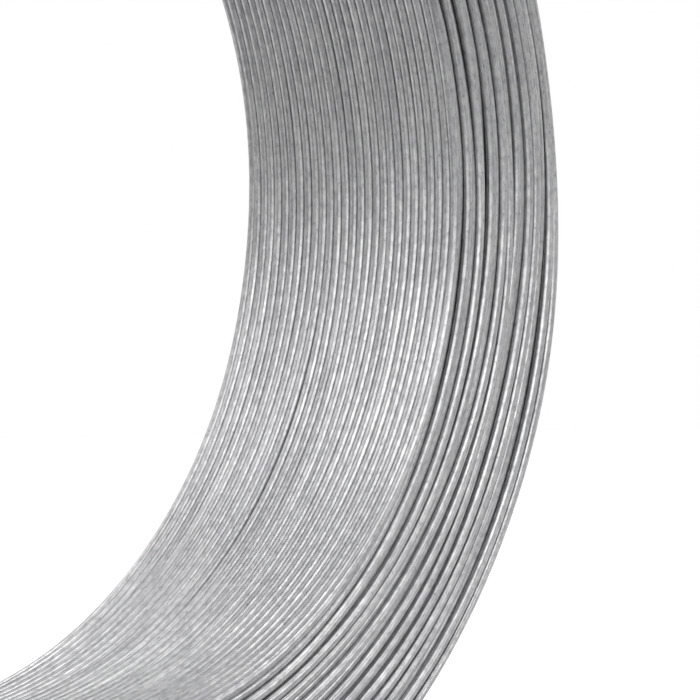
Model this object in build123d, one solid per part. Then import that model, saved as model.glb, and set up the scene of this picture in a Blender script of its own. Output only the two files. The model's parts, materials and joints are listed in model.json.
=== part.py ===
"""Coil of galvanised tension wire, standing on its rim with its axis level along Y.

The wound wire is one turned solid: a plain bore, a plain outside, and two ends that show the turns.
Each layer beds into the grooves of the layer under it, so on the ends every second layer stands
proud as a ring, and the layer between two rings lies half a turn back, at the bottom of the groove.
"""

import math
import os

from build123d import *

# The wire
wire_diameter = 2.0

# The winding: layers count outwards from the bore
bore_diameter = 196.0
layer_rise = 1.9
turns_across = 28
layer_count = 17

wire_radius = wire_diameter / 2
bore_radius = bore_diameter / 2
coil_width = turns_across * wire_diameter
outer_radius = bore_radius + (layer_count - 1) * layer_rise + wire_diameter

# A turn seen end on is an octagon round the wire: one of its flats is the crest of a proud ring
crest_half = wire_radius * math.tan(math.pi / 8)
corner_cut = wire_radius - crest_half


def end_rings(end_place):
    """Points along one end, from the bore outwards: a flat for a proud layer, a low point for the next."""
    inward = -math.copysign(wire_radius, end_place)
    points = []
    for layer in range(layer_count):
        middle = bore_radius + wire_radius + layer * layer_rise
        if layer % 2 == 0:
            points.append((middle - crest_half, end_place))
            points.append((middle + crest_half, end_place))
        else:
            points.append((middle, end_place + inward))
    return points


def winding_section():
    """Half section of the coil: X is the radius, Y runs along the axis."""
    half_width = coil_width / 2
    wall_half = half_width - corner_cut
    outline = [(bore_radius, -wall_half)]
    outline += end_rings(-half_width)
    outline += [(outer_radius, -wall_half), (outer_radius, wall_half)]
    outline += reversed(end_rings(half_width))
    outline += [(bore_radius, wall_half)]
    return make_face(Polyline(*outline, close=True))


def wire_coil():
    """The turned coil, lifted so that its rim stands on the ground."""
    turned = revolve(winding_section(), axis=Axis.Y)
    return Pos(Z=outer_radius) * turned


os.makedirs("parts", exist_ok=True)
export_step(wire_coil(), "parts/wire_coil.step")
print(f"bore {bore_diameter:.1f}, outside {2 * outer_radius:.2f}, width {coil_width:.1f} mm")
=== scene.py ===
import json
import math

import bpy
import numpy as np
from mathutils import Matrix, Vector


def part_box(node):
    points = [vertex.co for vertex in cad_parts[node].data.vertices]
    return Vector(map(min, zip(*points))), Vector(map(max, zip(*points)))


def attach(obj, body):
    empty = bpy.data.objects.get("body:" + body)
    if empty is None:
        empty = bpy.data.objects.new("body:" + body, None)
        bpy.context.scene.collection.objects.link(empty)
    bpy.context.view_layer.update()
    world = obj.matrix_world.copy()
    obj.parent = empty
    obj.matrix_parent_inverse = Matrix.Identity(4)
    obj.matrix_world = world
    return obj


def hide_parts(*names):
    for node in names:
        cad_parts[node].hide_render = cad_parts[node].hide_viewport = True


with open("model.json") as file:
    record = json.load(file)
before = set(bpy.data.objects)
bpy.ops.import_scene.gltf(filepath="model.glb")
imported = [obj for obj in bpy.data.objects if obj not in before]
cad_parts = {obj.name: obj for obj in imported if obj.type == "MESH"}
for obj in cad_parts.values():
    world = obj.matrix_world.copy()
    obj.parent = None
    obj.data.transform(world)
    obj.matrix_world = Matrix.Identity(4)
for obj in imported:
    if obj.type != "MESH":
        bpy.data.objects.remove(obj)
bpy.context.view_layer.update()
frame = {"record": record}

scene = bpy.context.scene
print("stage: frame loaded")


# The coil as the frame gives it. Its axis lies along Y, and its near end faces -Y
coilLow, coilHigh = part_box("wire_coil")
boreMount = next(m for m in frame["record"]["mounts"] if m["name"] == "bore")

coil = {
    "axisHeight": (coilLow[2] + coilHigh[2]) / 2,
    "halfWidth": (coilHigh[1] - coilLow[1]) / 2,
    "boreRadius": boreMount["dims"]["r_mm"] / 1000,
    "outerRadius": (coilHigh[0] - coilLow[0]) / 2,
    "pitch": 0.0020,          # from one turn to the next
    "gauge": 0.00200,
    "seamZone": 38,           # degrees before -X and after it in which a turn steps over to the next
}
coil["width"] = 2 * coil["halfWidth"] / coil["pitch"]    # in wires, like the depth of the winding
coil["depth"] = (coil["outerRadius"] - coil["boreRadius"]) / coil["pitch"]
coil["turns"] = round(coil["width"])

halfWire = 0.5    # in wires: the middle of a wire lies this far in from the face that it makes
bowPeak = 27 / 4  # brings the highest point of a bow to 1

mesh = {
    "stations": 192,          # cuts along one turn that shows
    "sides": 14,              # sides of a wire that shows
    "nestSides": 12,          # of a wire between two rings
    "backStations": 96,       # and of the wires behind them
    "backSides": 6,
    "lineSteps": 720,         # steps round the ring for smoothing a line
    "sharpAngle": 75,         # degrees, so that only the cut ends have sharp rims
    "turnSeed": 7,            # how a wire's sides are turned is left to chance
}


# Small helpers for shapes that run round the ring

def ringAngles(count):
    return np.linspace(-math.pi, math.pi, count + 1)


def softStep(x):
    x = np.clip(x, 0, 1)
    return x * x * (3 - 2 * x)


def nearAngle(angles, middle, reach):
    # 1 about an angle in degrees, fading out from half its reach to one and a half
    fadeEnd = 1.5
    return softStep(fadeEnd - np.abs(np.degrees(angles) - middle) / reach)


def wander(angles, seed, waves, strength):
    # a slow wave round the ring that meets itself at the seam
    rng = np.random.default_rng(seed)
    total = np.zeros_like(angles)
    for wave in waves:
        total += rng.normal() * np.cos(wave * angles + rng.uniform(0, 2 * math.pi))
    return strength * total / math.sqrt(len(waves) / 2)


def smoothRound(angles, line, softness):
    # evens out a line that runs once round the ring, over so many degrees
    fine = np.linspace(-math.pi, math.pi, mesh["lineSteps"], endpoint=False)
    waves = np.fft.rfft(np.interp(fine, angles, line, period=2 * math.pi))
    waves *= np.exp(-0.5 * (np.arange(len(waves)) * math.radians(softness)) ** 2)
    return np.interp(angles, fine, np.fft.irfft(waves, len(fine)), period=2 * math.pi)


def throughMarks(angles, marks, values, softness):
    # a smooth line round the ring through given values at some angles, in degrees
    line = np.interp(angles, np.radians(marks), values, period=2 * math.pi)
    return smoothRound(angles, line, softness)


# Wires: a turn is a pair of lines, its radius in wires out from the bore,
# and its depth in wires in from an end

class WireMesh:
    def __init__(self, name):
        self.name = name
        self.points = []
        self.faces = []
        self.places = []
        self.count = 0

    def addWire(self, angles, radii, depths, sides, lengthStart, nearEnd=True, gauge=coil["gauge"]):
        # angles run on past a full turn where the wire does
        rng = np.random.default_rng(int(lengthStart * 1000) + mesh["turnSeed"])
        radius = coil["boreRadius"] + coil["pitch"] * radii
        along = coil["halfWidth"] - coil["pitch"] * depths
        if nearEnd:
            along = -along
        outX, outZ = np.cos(angles), np.sin(angles)
        run = np.hypot(np.diff(radius), radius[1:] * np.diff(angles))
        run = lengthStart + np.concatenate([[0], np.cumsum(run)])
        around = np.linspace(0, 2 * math.pi, sides, endpoint=False) + rng.uniform(0, 1)
        half = np.broadcast_to(gauge / 2, angles.shape)[:, None]
        sideOut, sideAlong = half * np.cos(around), half * np.sin(around)
        reach = radius[:, None] + sideOut
        x = outX[:, None] * reach
        y = along[:, None] + sideAlong
        z = coil["axisHeight"] + outZ[:, None] * reach
        self.points.append(np.stack([x, y, z], axis=-1).reshape(-1, 3))
        length = np.broadcast_to(run[:, None], reach.shape)
        self.places.append(np.stack([length, sideOut, sideAlong], axis=-1).reshape(-1, 3))
        rows, cols = np.arange(len(angles) - 1), np.arange(sides)
        a = self.count + rows[:, None] * sides + cols[None, :]
        b = self.count + rows[:, None] * sides + (cols[None, :] + 1) % sides
        quads = np.stack([a, b, b + sides, a + sides], axis=-1).reshape(-1, 4)
        self.faces.extend(quads.tolist())
        # both ends are cut off plain
        last = self.count + (len(angles) - 1) * sides
        self.faces.append(list(range(self.count + sides - 1, self.count - 1, -1)))
        self.faces.append(list(range(last, last + sides)))
        self.count += len(angles) * sides

    def build(self, material):
        points = np.concatenate(self.points)
        data = bpy.data.meshes.new(self.name)
        data.from_pydata(points.tolist(), [], self.faces)
        attribute = data.attributes.new("alongWire", "FLOAT_VECTOR", "POINT")
        attribute.data.foreach_set("vector", np.concatenate(self.places).astype(np.float32).ravel())
        data.polygons.foreach_set("use_smooth", [len(f) == 4 for f in self.faces])
        data.set_sharp_from_angle(angle=math.radians(mesh["sharpAngle"]))
        data.materials.append(material)
        piece = bpy.data.objects.new(self.name, data)
        scene.collection.objects.link(piece)
        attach(piece, "root")
        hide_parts("wire_coil")
        triangles = sum(len(f) - 2 for f in self.faces)
        print(f"stage: {self.name}, {triangles} triangles")


def joinTurns(turns):
    # turns that follow each other make one long wire
    angles, radii, depths = [], [], []
    for number, (radius, depth) in enumerate(turns):
        turnAngles = ringAngles(len(radius) - 1) + 2 * math.pi * number
        start = 0 if number == 0 else 1
        angles.append(turnAngles[start:])
        radii.append(radius[start:])
        depths.append(depth[start:])
    return np.concatenate(angles), np.concatenate(radii), np.concatenate(depths)


def seamShares(angles):
    # how far a turn has moved on towards the turn after it, and come from the turn before it:
    # half of each step lies on either side of the seam
    zone = math.radians(coil["seamZone"])
    onward = 0.5 * softStep((angles - math.pi + zone) / zone)
    before = 0.5 * softStep((-angles - math.pi + zone) / zone)
    return onward, before


def nestBetween(first, second, bed):
    # the wire that beds between two others, on the side away from the end
    leastSink = 0.1   # squared, in wires, where the two are far apart
    outStep, inStep = second[0] - first[0], second[1] - first[1]
    apart = np.hypot(outStep, inStep)
    sink = bed * np.sqrt(np.clip(1 - (apart / 2) ** 2, leastSink, 1))
    radius = (first[0] + second[0]) / 2 - inStep / apart * sink
    depth = (first[1] + second[1]) / 2 + outStep / apart * sink
    return radius, depth


# The galvanised finish, in colours and noises that follow the wire

zinc = {
    "pale": (0.53, 0.531, 0.535),
    "dull": (0.37, 0.371, 0.375),
    "streakStops": (0.34, 0.66),   # where the drawn streaks go from dull to pale
    "metal": 0.82,                 # the rest is dull zinc oxide
    "roughness": (0.26, 0.37),
    "noises": {                    # scale a metre along the wire and across it, and detail
        "streaks": ((60, 3000, 3000), 3),
        "mottle": ((600, 1100, 1100), 3),
        "grain": ((1300, 2400, 2400), 2),
        "slow": ((16, 40, 40), 2),
    },
    "tints": (                     # noise, strength, and the two stops of its tint
        ("mottle", 1.0, (0.36, (1.09, 1.09, 1.09)), (0.68, (0.76, 0.76, 0.77))),
        ("grain", 0.7, (0.60, (1, 1, 1)), (0.72, (0.45, 0.45, 0.46))),
        ("slow", 1.0, (0.3, (0.80, 0.802, 0.81)), (0.7, (1.14, 1.14, 1.14))),
    ),
    "bumps": (("streaks", 0.00001), ("mottle", 0.00004), ("grain", 0.00003)),   # metres
}


def makeGalvanised():
    material = bpy.data.materials.new("galvanisedWire")
    material.use_nodes = True
    nodes, links = material.node_tree.nodes, material.node_tree.links
    shader = nodes["Principled BSDF"]
    shader.inputs["Metallic"].default_value = zinc["metal"]

    place = nodes.new("ShaderNodeAttribute")
    place.attribute_name = "alongWire"

    def noise(stretch, detail):
        mapping = nodes.new("ShaderNodeMapping")
        mapping.inputs["Scale"].default_value = stretch
        links.new(place.outputs["Vector"], mapping.inputs["Vector"])
        texture = nodes.new("ShaderNodeTexNoise")
        texture.inputs["Scale"].default_value = 1
        texture.inputs["Detail"].default_value = detail
        links.new(mapping.outputs["Vector"], texture.inputs["Vector"])
        return texture.outputs["Fac"]

    def ramp(value, *stops):
        node = nodes.new("ShaderNodeValToRGB")
        for element, (position, colour) in zip(node.color_ramp.elements, stops):
            element.position = position
            element.color = (*colour, 1)
        links.new(value, node.inputs["Fac"])
        return node.outputs["Color"]

    def tinted(colour, strength, tint):
        node = nodes.new("ShaderNodeMix")
        node.data_type = "RGBA"
        node.blend_type = "MULTIPLY"
        node.inputs["Factor"].default_value = strength
        links.new(colour, node.inputs[6])   # the colour sockets A and B
        links.new(tint, node.inputs[7])
        return node.outputs[2]

    noises = {name: noise(*values) for name, values in zinc["noises"].items()}

    dullStop, paleStop = zinc["streakStops"]
    colour = ramp(noises["streaks"], (dullStop, zinc["dull"]), (paleStop, zinc["pale"]))
    for name, strength, low, high in zinc["tints"]:
        colour = tinted(colour, strength, ramp(noises[name], low, high))
    links.new(colour, shader.inputs["Base Color"])

    rough = nodes.new("ShaderNodeMapRange")
    rough.inputs["To Min"].default_value = zinc["roughness"][0]
    rough.inputs["To Max"].default_value = zinc["roughness"][1]
    links.new(noises["mottle"], rough.inputs["Value"])
    links.new(rough.outputs["Result"], shader.inputs["Roughness"])

    # drawn lines, then the uneven zinc over them
    normal = None
    for name, height in zinc["bumps"]:
        bump = nodes.new("ShaderNodeBump")
        bump.inputs["Distance"].default_value = height
        links.new(noises[name], bump.inputs["Height"])
        if normal:
            links.new(normal, bump.inputs["Normal"])
        normal = bump.outputs["Normal"]
    links.new(normal, shader.inputs["Normal"])
    return material


galvanised = makeGalvanised()
print("stage: galvanised finish")


# Ends: the rings of wire that show, as places in wires out from the bore. The near end's are given
# at the angles that the photo shows, and the rest are left to chance

nearEnd = {
    "marks": (-66, -55, -40, -20, 0, 15),
    "rings": (
        (0.5, 0.5, 0.5, 0.5, 0.5, 0.5),
        (2.45, 2.3, 2.35, 2.3, 2.35, 2.35),
        (3.5, 3.5, 4.0, 4.05, 4.3, 4.1),
        (4.5, 4.6, 5.05, 5.3, 5.8, 6.2),
        (5.9, 6.1, 6.7, 7.5, 7.6, 8.0),
        (7.75, 7.95, 8.3, 8.7, 8.95, 9.2),
        (9.0, 9.2, 9.6, 9.6, 10.2, 10.5),
        (10.3, 10.5, 10.9, 11.2, 12.0, 12.0),
        (11.5, 11.8, 12.2, 12.5, 13.1, 13.2),
        (12.8, 13.1, 13.5, 13.7, 14.2, 14.3),
        (14.4, 14.65, 15.0, 15.35, 15.3, 15.2),
        (15.65, 15.85, 16.25, 16.75, 16.25, 16.0),
    ),
    "giveWay": (6, 9, 11),    # rings that sink where they are crowded
    "sunk": (                 # rings that lie back: ring, middle and reach in degrees, wires
        (3, -60, 12, 0.25),
        (5, 8, 14, 0.28),
        (9, -22, 28, 0.30),
        (11, -34, 16, 0.25),
    ),
    "bedMarks": (-66, -45, -15, 15, 40, 150),
    "beds": (                 # how deep the wires between rings lie: count of them, shares at the marks
        (1, (0.72, 0.82, 1.12, 1.6, 1.5, 0.9)),
        (3, (0.72, 0.82, 1.2, 1.25, 1.2, 0.9)),
        (7, (0.72, 0.82, 1.1, 0.76, 0.75, 0.9)),
    ),
    "freeMarks": (60, 105, 150, 195, 240),
    "softness": 7,
    "seed": 11,
    "lean": {                 # how far the inner edge stands out, in wires
        "marks": (-66, -20, 15, 100, 200),
        "values": (-0.35, -0.28, -0.2, -0.1, -0.1),
    },
}
farEnd = {
    "marks": (),
    "rings": ((),) * 12,
    "giveWay": (6, 9, 11),
    "sunk": (),
    "bedMarks": (0, 180),
    "beds": ((11, (0.9, 0.9)),),
    "freeMarks": (-150, -100, -50, 0, 50, 100, 150),
    "softness": 12,
    "seed": 29,
    "lean": {
        "marks": (-75, -45, -15, 5, 25, 100, 200),
        "values": (0.9, 0.5, 0.2, -0.3, -0.8, -0.3, 0.2),
    },
}
ends = {                      # what both ends share
    "swayWaves": (3, 5, 7),   # a ring sways out and in, and dips, by so many wires
    "sway": 0.04,
    "swaySeed": 50,
    "dipWaves": (2, 3, 5),
    "dip": 0.08,
    "dipSeed": 90,
    "unevenness": 0.7,        # of the spaces left to chance
    "leanRings": 4,           # rings over which the inner edge's lean fades
    "leanSoftness": 10,       # degrees over which values at marks run into each other
    "bedSoftness": 10,
    "depthSoftness": 7,
    "lengthPerSeed": 3.0,     # metres along the wire, so that no two wires have the same marks
    "lengthStarts": (0, 20, 30, 40),
}


def leanOf(end, angles):
    return throughMarks(angles, end["lean"]["marks"], end["lean"]["values"], ends["leanSoftness"])


def placeRings(end, angles):
    # rings keep at least a wire apart where they are left to chance
    rng = np.random.default_rng(end["seed"])
    ringCount = len(end["rings"])
    firstPlace, lastPlace = halfWire, coil["depth"] - halfWire
    spare = lastPlace - firstPlace - (ringCount - 1)
    free = []
    for mark in end["freeMarks"]:
        weights = np.exp(rng.normal(0, ends["unevenness"], ringCount - 1))
        gaps = 1 + spare * weights / weights.sum()
        free.append(firstPlace + np.concatenate([[0], np.cumsum(gaps)]))
    marks = end["marks"] + end["freeMarks"]
    order = np.argsort(marks)
    radii = []
    for ring, places in enumerate(end["rings"]):
        values = np.array(tuple(places) + tuple(row[ring] for row in free))
        line = throughMarks(angles, np.array(marks)[order], values[order], end["softness"])
        swaySeed = end["seed"] * ends["swaySeed"] + ring
        radii.append(line + wander(angles, swaySeed, ends["swayWaves"], ends["sway"]))
    depths = []
    for ring in range(ringCount):
        dipSeed = end["seed"] * ends["dipSeed"] + ring
        depth = halfWire + np.abs(wander(angles, dipSeed, ends["dipWaves"], ends["dip"]))
        depth -= leanOf(end, angles) * max(0, 1 - ring / ends["leanRings"])
        for sunkRing, middle, reach, wires in end["sunk"]:
            if ring == sunkRing:
                depth += wires * nearAngle(angles, middle, reach)
        if ring in end["giveWay"]:
            for other in (ring - 1, ring + 1):
                if 0 <= other < ringCount:
                    apart = np.abs(radii[ring] - radii[other])
                    depth = np.maximum(depth, halfWire + np.sqrt(np.clip(1 - apart ** 2, 0, 1)))
        depths.append(smoothRound(angles, depth, ends["depthSoftness"]))
    return list(zip(radii, depths))


def spiralRings(rings, angles):
    # at the seam each ring steps over to the next, so that the end is one wire
    onward, before = seamShares(angles)
    turns = []
    for number, ring in enumerate(rings):
        following = rings[min(number + 1, len(rings) - 1)]
        previous = rings[max(number - 1, 0)]
        turns.append(tuple(
            ring[k] + onward * (following[k] - ring[k]) + before * (previous[k] - ring[k])
            for k in (0, 1)))
    return turns


def buildEnd(name, end, isNear):
    # the near end winds out from the bore, and the far end winds back in from under the last outer turn
    angles = ringAngles(mesh["stations"])
    rings = placeRings(end, angles)
    if isNear:
        rings = spiralRings(rings, angles)
        shown = rings[1:-1]
    else:
        inward = spiralRings(rings[-2::-1], angles)
        rings = inward[::-1] + rings[-1:]
        shown = inward[:-1]
    beds = []
    for count, values in end["beds"]:
        beds += [throughMarks(angles, end["bedMarks"], values, ends["bedSoftness"])] * count
    nested = [nestBetween(a, b, bed) for a, b, bed in zip(rings, rings[1:], beds)]
    deeper = [nestBetween(a, b, bed) for a, b, bed in zip(nested, nested[1:], beds)]
    if not isNear:
        nested.reverse()
        deeper.reverse()
    starts = [end["seed"] * ends["lengthPerSeed"] + start for start in ends["lengthStarts"]]
    wires = WireMesh(name)
    wires.addWire(*joinTurns(shown), mesh["sides"], starts[0], isNear)
    wires.addWire(*joinTurns(nested[1:]), mesh["nestSides"], starts[1], isNear)
    wires.addWire(*joinTurns(nested[:1]), mesh["nestSides"], starts[2], isNear)
    wires.addWire(*joinTurns(deeper), mesh["backSides"], starts[3], isNear)
    wires.build(galvanised)
    return rings[0], rings[-1]


nearBoreRing, nearOuterRing = buildEnd("nearEndTurns", nearEnd, True)
farBoreRing, farOuterRing = buildEnd("farEndTurns", farEnd, False)


# Bore and outside: close turns side by side from end to end

wall = {
    "bow": {                  # turns near the middle bow towards the far end, in wires
        "marks": (-75, -45, -10, 25, 110, 200),
        "values": (0.6, 0.15, 0.0, 0.2, 0.1, 0.2),
    },
    "bowSoftness": 14,
    "leanTurns": 14,          # turns over which an edge's lean fades
    "farLeanFade": 1.5,       # the far edge's lean fades faster at first
    "rimTurns": 3,            # turns over which the outer rim's rise fades
    "loose": 0.022,           # how far a turn strays from its neighbours, in wires
    "looseWaves": (2, 3, 4, 6),
    "rise": 0.011,            # and how far it rises
    "riseWaves": (2, 3, 5, 7),
    "riseSeed": 400,
    "gauge": 0.00214,         # turns drawn tight press a little into each other
    "gaps": (                 # open grooves in the bore: turn, middle and reach in degrees, wires
        (11, -38, 20, 0.20),
        (14, 10, 18, 0.08),
        (8, 5, 16, 0.08),
    ),
    "backDepth": 1.42,        # the layer behind, in wires in from the face
    "lengthPerSeed": 2.0,     # metres along the wire
    "backStart": 50,
}


def openGrooves(angles, turn):
    # turns on the far side of an open groove are pushed together
    moved = np.zeros_like(angles)
    for gapTurn, middle, reach, width in wall["gaps"]:
        if turn < gapTurn:
            moved += width * nearAngle(angles, middle, reach) * turn / gapTurn
    return moved


def wallTurns(radiusLine, isBore, nearRing, farRing, angles, seed):
    # turn 0 is the far one. The bore winds towards the near end, and the outside back to the far end
    onward, before = seamShares(angles)
    way = -1 if isBore else 1
    bow = throughMarks(angles, wall["bow"]["marks"], wall["bow"]["values"], wall["bowSoftness"])
    turns = []
    for turn in range(coil["turns"]):
        fromNear = coil["turns"] - 1 - turn
        along = (turn + halfWire) / coil["turns"]
        share = bowPeak * along * (1 - along) ** 2
        depth = coil["width"] - halfWire - turn + bow * share + way * (onward - before)
        if isBore:
            farShare = max(0, 1 - turn / wall["leanTurns"]) ** wall["farLeanFade"]
            depth += leanOf(farEnd, angles) * farShare
            depth -= leanOf(nearEnd, angles) * max(0, 1 - fromNear / wall["leanTurns"])
            depth += openGrooves(angles, turn)
        depth += wander(angles, seed + turn, wall["looseWaves"], wall["loose"])
        riseSeed = seed + wall["riseSeed"] + turn
        radius = radiusLine + wander(angles, riseSeed, wall["riseWaves"], wall["rise"])
        if not isBore:
            # the rim rises with its last turn
            risen = np.maximum(0, nearRing[0] - radiusLine)
            radius += risen * max(0, 1 - fromNear / wall["rimTurns"])
        turns.append((radius, depth))
    # the end turns are the ones that the ends are built round
    turns[0] = (farRing[0], coil["width"] - farRing[1] - (onward if isBore else before))
    turns[-1] = (nearRing[0], nearRing[1] + (before if isBore else onward))
    return turns if isBore else turns[::-1]


def buildWall(name, radius, backRadius, nearRing, farRing, seed):
    isBore = radius < backRadius
    angles = ringAngles(mesh["stations"])
    start = seed * wall["lengthPerSeed"]
    wires = WireMesh(name)
    angles, radii, depths = joinTurns(wallTurns(radius, isBore, nearRing, farRing, angles, seed))
    # turns between the end ones are a little thicker, and keep the bore and the outside at their size
    turnNumber = (angles + math.pi) / (2 * math.pi)
    fromEnds = np.minimum(turnNumber, coil["turns"] - turnNumber) - 1
    gauge = coil["gauge"] + (wall["gauge"] - coil["gauge"]) * softStep(fromEnds)
    swell = (gauge / coil["pitch"] - 1) / 2
    radii = radii + swell if isBore else radii - swell
    wires.addWire(angles, radii, depths, mesh["sides"], start, gauge=gauge)
    # the turns behind lie between the ones in front
    backAngles = ringAngles(mesh["backStations"])
    onward, before = seamShares(backAngles)
    back = [(np.full_like(backAngles, backRadius), coil["width"] - 2 * halfWire - turn - onward + before)
            for turn in range(1, coil["turns"] - 2)]
    wires.addWire(*joinTurns(back), mesh["backSides"], start + wall["backStart"])
    wires.build(galvanised)


buildWall("boreTurns", halfWire, wall["backDepth"], nearBoreRing, farBoreRing, seed=60)
buildWall("outerTurns", coil["depth"] - halfWire, coil["depth"] - wall["backDepth"],
          nearOuterRing, farOuterRing, seed=70)


# Camera, where the photo was taken from: low beside the near end, looking across the bore

camera = {
    "place": (-0.3572, -0.3852, 0.0872),
    "heading": 49.73,         # degrees from +Y towards +X
    "rise": 1.0,
    "roll": 1.18,
    "lens": 154.3,
    "sensor": 36.0,
    "clipStart": 0.01,
}


def makeCamera():
    heading, rise, roll = (math.radians(camera[k]) for k in ("heading", "rise", "roll"))
    level = np.array([math.cos(heading), -math.sin(heading), 0])
    ahead = np.array([math.sin(heading), math.cos(heading), 0])
    forward = math.cos(rise) * ahead + np.array([0, 0, math.sin(rise)])
    upright = np.cross(level, forward)
    right = math.cos(roll) * level - math.sin(roll) * upright
    up = math.sin(roll) * level + math.cos(roll) * upright
    data = bpy.data.cameras.new("photoCamera")
    data.lens = camera["lens"]
    data.sensor_width = camera["sensor"]
    data.clip_start = camera["clipStart"]
    seen = bpy.data.objects.new("photoCamera", data)
    turn = Matrix((right, up, -forward)).transposed().to_4x4()
    seen.matrix_world = Matrix.Translation(camera["place"]) @ turn
    scene.collection.objects.link(seen)
    scene.camera = seen


makeCamera()
print("stage: camera")


# Floor, lamps and the white room

studio = {
    "floorSize": 12.0,
    "floorColour": (0.50, 0.50, 0.50),
    "floorRoughness": 0.9,
    "backdropWay": (0.707, 0.707, 0.0),
    "backdropGlow": {"from": -0.15, "to": 0.30, "glow": 0.85},   # here the floor reads as white
    "farGlow": {"from": 1.0, "to": 2.4, "glow": 0.45},           # and far off it stays pale all round
    "roomSeen": (0.72, 1.0),  # the room as seen, from the near side to the white backdrop
    "roomReach": (-0.2, 0.8),
    "roomLight": 0.25,        # and the light that it gives
    "lamps": {                # metres and watts
        "keyLamp": {"place": (-0.80, -1.08, 1.06), "size": (1.1, 1.45), "power": 11},
        "highLamp": {"place": (0.20, -0.70, 1.60), "size": (0.9, 0.7), "power": 3.5},
        "leftLamp": {"place": (-0.78, 0.78, 1.20), "size": (2.8, 1.25), "power": 8.4},
        "fillLamp": {"place": (-1.25, -0.30, 0.92), "size": (0.9, 1.9), "power": 6.5},
        "topLamp": {"place": (0.12, 0.02, 1.70), "size": (0.8, 0.8), "power": 6},
        "rightLamp": {"place": (0.65, 0.20, 1.50), "size": (0.7, 0.7), "power": 4},
        "frontLamp": {"place": (0.80, -1.30, 0.80), "size": (0.6, 0.6), "power": 3},
    },
}


def seenDirectly(nodes, links):
    # 1 where the camera, or a reflection or a clear thing, looks at the surface
    path = nodes.new("ShaderNodeLightPath")
    first = nodes.new("ShaderNodeMath")
    first.operation = "MAXIMUM"
    links.new(path.outputs["Is Camera Ray"], first.inputs[0])
    links.new(path.outputs["Is Glossy Ray"], first.inputs[1])
    both = nodes.new("ShaderNodeMath")
    both.operation = "MAXIMUM"
    links.new(first.outputs[0], both.inputs[0])
    links.new(path.outputs["Is Transmission Ray"], both.inputs[1])
    return both.outputs[0]


def makeFloor():
    half = studio["floorSize"] / 2
    data = bpy.data.meshes.new("floor")
    corners = [(-half, -half, 0), (half, -half, 0), (half, half, 0), (-half, half, 0)]
    data.from_pydata(corners, [], [(0, 1, 2, 3)])
    floor = bpy.data.objects.new("floor", data)
    scene.collection.objects.link(floor)
    material = bpy.data.materials.new("paleFloor")
    material.use_nodes = True
    nodes, links = material.node_tree.nodes, material.node_tree.links
    shader = nodes["Principled BSDF"]
    shader.inputs["Base Color"].default_value = (*studio["floorColour"], 1)
    shader.inputs["Roughness"].default_value = studio["floorRoughness"]
    shader.inputs["Emission Color"].default_value = (1, 1, 1, 1)
    place = nodes.new("ShaderNodeNewGeometry")
    across = nodes.new("ShaderNodeVectorMath")
    across.operation = "DOT_PRODUCT"
    across.inputs[1].default_value = studio["backdropWay"]
    links.new(place.outputs["Position"], across.inputs[0])
    distance = nodes.new("ShaderNodeVectorMath")
    distance.operation = "LENGTH"
    links.new(place.outputs["Position"], distance.inputs[0])
    stronger = nodes.new("ShaderNodeMath")
    stronger.operation = "MAXIMUM"
    for number, (way, zone) in enumerate(((across, "backdropGlow"), (distance, "farGlow"))):
        reach = nodes.new("ShaderNodeMapRange")
        reach.interpolation_type = "SMOOTHSTEP"
        reach.inputs["From Min"].default_value = studio[zone]["from"]
        reach.inputs["From Max"].default_value = studio[zone]["to"]
        reach.inputs["To Max"].default_value = studio[zone]["glow"]
        links.new(way.outputs["Value"], reach.inputs["Value"])
        links.new(reach.outputs["Result"], stronger.inputs[number])
    glow = nodes.new("ShaderNodeMath")
    glow.operation = "MULTIPLY"
    links.new(stronger.outputs[0], glow.inputs[0])
    links.new(seenDirectly(nodes, links), glow.inputs[1])
    links.new(glow.outputs[0], shader.inputs["Emission Strength"])
    data.materials.append(material)


def makeRoom():
    world = bpy.data.worlds.new("whiteRoom")
    scene.world = world
    world.use_nodes = True
    nodes, links = world.node_tree.nodes, world.node_tree.links
    background = nodes["Background"]
    background.inputs["Color"].default_value = (1, 1, 1, 1)
    place = nodes.new("ShaderNodeTexCoord")
    across = nodes.new("ShaderNodeVectorMath")
    across.operation = "DOT_PRODUCT"
    across.inputs[1].default_value = studio["backdropWay"]
    links.new(place.outputs["Generated"], across.inputs[0])
    seen = nodes.new("ShaderNodeMapRange")
    seen.interpolation_type = "SMOOTHSTEP"
    seen.inputs["From Min"].default_value = studio["roomReach"][0]
    seen.inputs["From Max"].default_value = studio["roomReach"][1]
    seen.inputs["To Min"].default_value = studio["roomSeen"][0]
    seen.inputs["To Max"].default_value = studio["roomSeen"][1]
    links.new(across.outputs["Value"], seen.inputs["Value"])
    strength = nodes.new("ShaderNodeMapRange")
    strength.inputs["To Min"].default_value = studio["roomLight"]
    links.new(seen.outputs["Result"], strength.inputs["To Max"])
    links.new(seenDirectly(nodes, links), strength.inputs["Value"])
    links.new(strength.outputs["Result"], background.inputs["Strength"])


def makeLamp(name, lamp):
    data = bpy.data.lights.new(name, "AREA")
    data.shape = "RECTANGLE"
    data.size, data.size_y = lamp["size"]
    data.energy = lamp["power"]
    shining = bpy.data.objects.new(name, data)
    shining.location = lamp["place"]
    toCoil = Vector((0, 0, coil["axisHeight"])) - Vector(lamp["place"])
    shining.rotation_mode = "QUATERNION"
    shining.rotation_quaternion = toCoil.to_track_quat("-Z", "Y")
    shining.visible_camera = False
    scene.collection.objects.link(shining)


makeFloor()
makeRoom()
for lampName, lamp in studio["lamps"].items():
    makeLamp(lampName, lamp)
scene.view_settings.view_transform = "Standard"
print("stage: floor, lamps and room")
